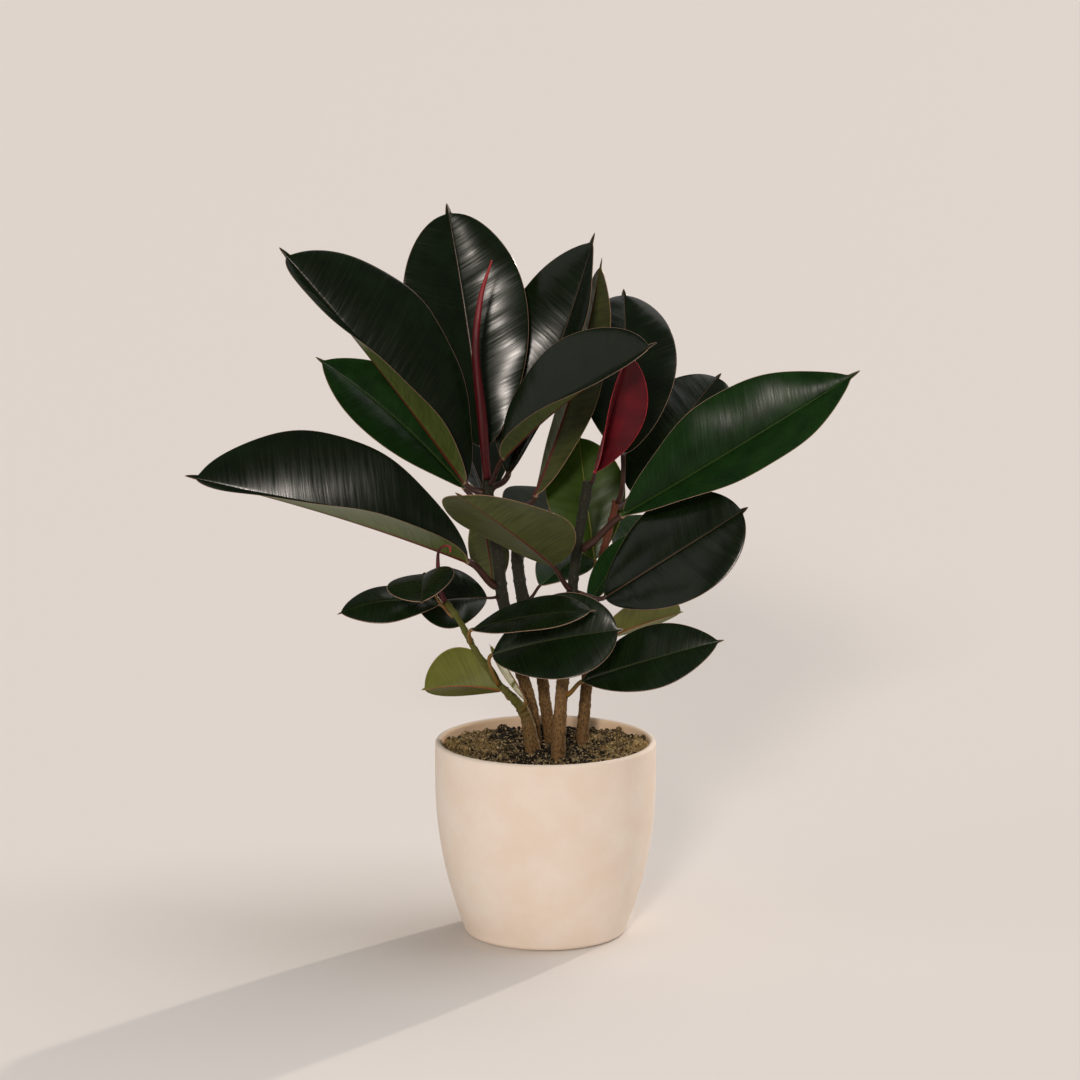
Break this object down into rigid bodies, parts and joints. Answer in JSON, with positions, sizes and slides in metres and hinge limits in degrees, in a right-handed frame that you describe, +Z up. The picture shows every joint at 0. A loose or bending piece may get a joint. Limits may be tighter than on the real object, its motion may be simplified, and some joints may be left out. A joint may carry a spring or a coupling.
{
  "type": "potted rubber plant",
  "caption": "Young rubber plant with broad dark glossy leaves on five slim canes, potted in soil in a plain tapered mineral-finish planter.",
  "frame": {"origin": "centre of the planter's foot, on the surface it stands on", "axes": "+Z up along the planter's axis; the plant's display side faces -Y, with +X to its right"},
  "size_m": [0.5394, 0.3243, 0.5907],
  "materials": {
    "planter": "matt sandy fibre-clay, pale peach beige",
    "soil": "loose crumbly potting soil",
    "bark": "matt brown bark, greener towards the tips",
    "leaf": "waxy near-black green, olive and matt beneath",
    "sheath": "satin burgundy red"
  },
  "bodies": {
    "root": {"cane_front": "bark", "cane_left": "bark", "cane_middle": "bark", "cane_right": "bark", "cane_side": "bark", "crown_bud": "sheath", "leaf_back_1": "leaf", "leaf_back_2": "leaf", "leaf_back_3": "leaf", "leaf_back_4": "leaf", "leaf_front_1": "leaf", "leaf_front_2": "leaf", "leaf_front_3": "leaf", "leaf_front_4": "leaf", "leaf_front_5": "leaf", "leaf_left_1": "leaf", "leaf_left_2": "leaf", "leaf_left_3": "leaf", "leaf_left_4": "leaf", "leaf_left_5": "leaf", "leaf_left_6": "leaf", "leaf_left_7": "leaf", "leaf_left_8": "leaf", "leaf_middle_1": "leaf", "leaf_middle_2": "leaf", "leaf_right_1": "leaf", "leaf_right_2": "leaf", "leaf_right_3": "leaf", "leaf_right_4": "leaf", "leaf_side_1": "leaf", "leaf_side_2": "leaf", "leaf_side_3": "leaf", "leaf_side_4": "leaf", "leaf_side_5": "leaf", "leaf_side_6": "leaf", "planter": "planter", "shoot_bud": "sheath", "soil": "soil", "young_leaf": "sheath"}
  },
  "joints": []
}
